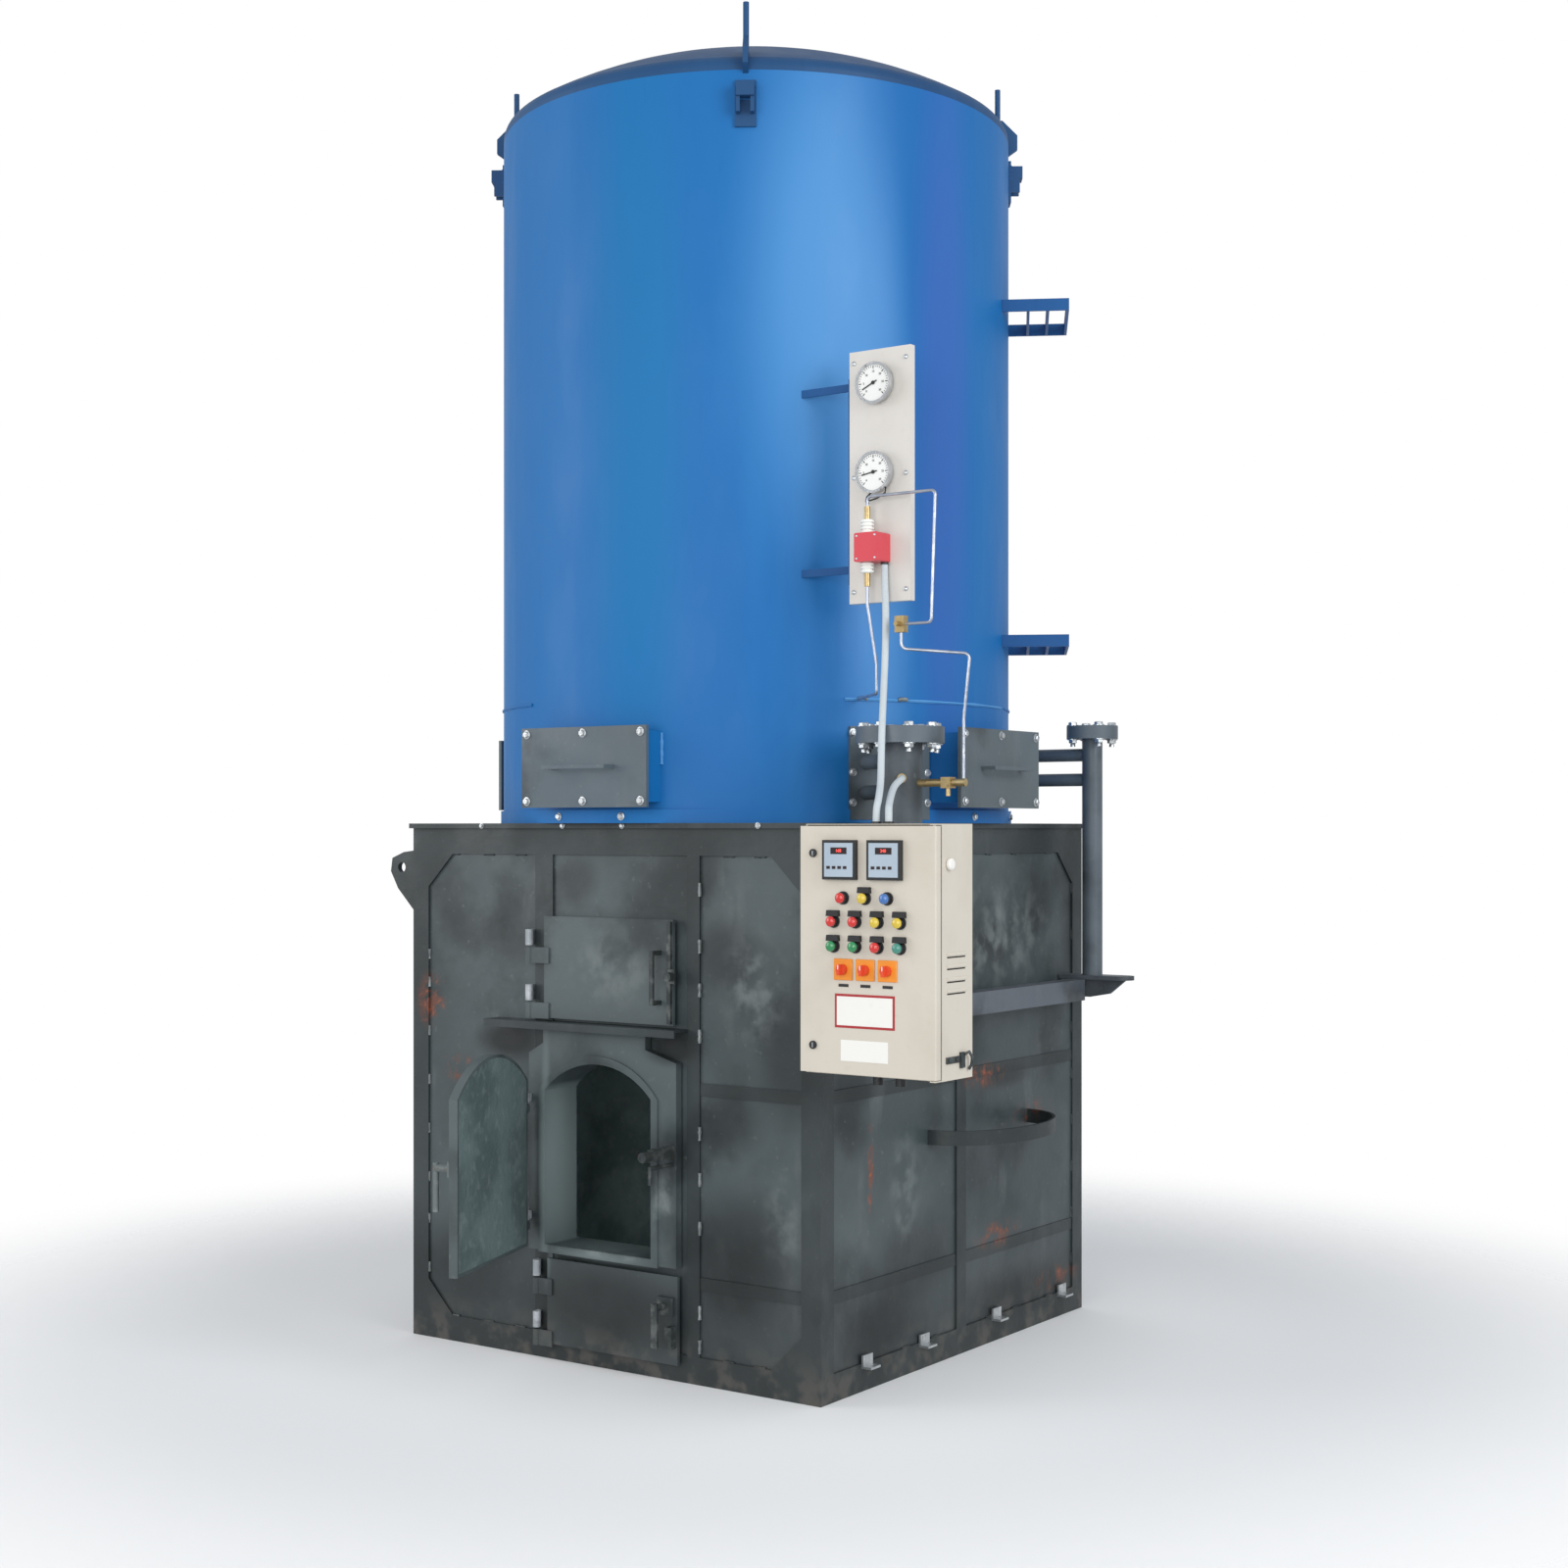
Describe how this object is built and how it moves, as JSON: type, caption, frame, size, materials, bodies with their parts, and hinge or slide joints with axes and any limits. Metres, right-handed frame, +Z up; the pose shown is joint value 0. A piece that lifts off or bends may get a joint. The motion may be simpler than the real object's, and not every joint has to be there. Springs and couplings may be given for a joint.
{
  "type": "thermic fluid heater",
  "caption": "Vertical solid-fuel thermic fluid heater: square steel furnace with hinged doors, round coil shell with dished head, header pipes, gauge plate and control cabinet.",
  "frame": {"origin": "on the floor, under the shell axis, at the middle of the furnace underside", "axes": "+Z up, the fire door faces -Y, the control cabinet is at the +X side of the front"},
  "size_m": [2.019, 2.0601, 3.698],
  "materials": {
    "bellows": "satin",
    "black_plastic": "matt",
    "brass": "satin",
    "conduit_plastic": "matt",
    "controller_plastic": "satin",
    "cover_paint": "satin",
    "cream_paint": "powder coat",
    "door_iron": "dull",
    "furnace_paint": "satin, heat marked",
    "gauge_metal": "brushed",
    "lamp_plastic": "gloss",
    "refractory": "rough",
    "shell_paint": "gloss",
    "switch_plastic": "gloss",
    "tube_steel": "satin"
  },
  "bodies": {
    "heater": {"back_lining": "refractory", "back_wall": "furnace_paint", "base_ring": "shell_paint", "cabinet_box": "cream_paint", "cable_glands": "black_plastic", "cleanout_covers": "cover_paint", "cleanout_necks": "shell_paint", "coil_plate": "cover_paint", "coil_tubes": "cover_paint", "corner_gussets": "furnace_paint", "corner_posts": "furnace_paint", "door_hinges": "furnace_paint", "fire_door_frame": "furnace_paint", "foot_cleats": "furnace_paint", "frame_rails": "furnace_paint", "front_header": "cover_paint", "front_lining": "refractory", "front_wall_middle": "furnace_paint", "front_walls": "furnace_paint", "gauge_bracket": "shell_paint", "gauge_plate": "cream_paint", "gauges": "gauge_metal", "head": "shell_paint", "head_clamps": "shell_paint", "header_flanges": "cover_paint", "hearth": "refractory", "impulse_fittings": "brass", "impulse_tubes": "tube_steel", "latch_keeper": "door_iron", "ledge": "furnace_paint", "lifting_lug": "furnace_paint", "main_conduit": "conduit_plastic", "mid_posts": "furnace_paint", "pipe_saddles": "furnace_paint", "pressure_switch": "switch_plastic", "rear_header": "cover_paint", "seam_strips": "furnace_paint", "sensor_conduit": "conduit_plastic", "shell": "shell_paint", "shell_guides": "shell_paint", "side_beam": "furnace_paint", "side_hoop": "furnace_paint", "side_linings": "refractory", "side_walls": "furnace_paint", "switch_bellows": "bellows", "top_plate": "furnace_paint"},
    "fire_door": {"fire_door": "furnace_paint", "fire_door_fill": "refractory", "fire_door_handle": "door_iron"},
    "feed_door": {"feed_door": "furnace_paint", "feed_door_handle": "door_iron"},
    "ash_door": {"ash_door": "furnace_paint", "ash_door_handle": "door_iron"},
    "cabinet_door": {"cabinet_door": "cream_paint", "controllers": "controller_plastic", "panel_lamps": "lamp_plastic", "panel_switches": "lamp_plastic", "cabinet_locks": "black_plastic"}
  },
  "joints": [
    {"name": "fire_door_hinge", "type": "hinge", "parent": "heater", "child": "fire_door", "pos_m": [-0.236, -0.759, 0.5], "axis": [0, 0, 1], "range_deg": [-60, 71]},
    {"name": "feed_door_hinge", "type": "hinge", "parent": "heater", "child": "feed_door", "pos_m": [-0.25, -0.729, 1.08], "axis": [0, 0, -1], "range_deg": [0, 120]},
    {"name": "ash_door_hinge", "type": "hinge", "parent": "heater", "child": "ash_door", "pos_m": [-0.222, -0.729, 0.17], "axis": [0, 0, -1], "range_deg": [0, 120]},
    {"name": "cabinet_door_hinge", "type": "hinge", "parent": "heater", "child": "cabinet_door", "pos_m": [1.135, -0.86, 1.17], "axis": [0, 0, 1], "range_deg": [0, 110]}
  ]
}
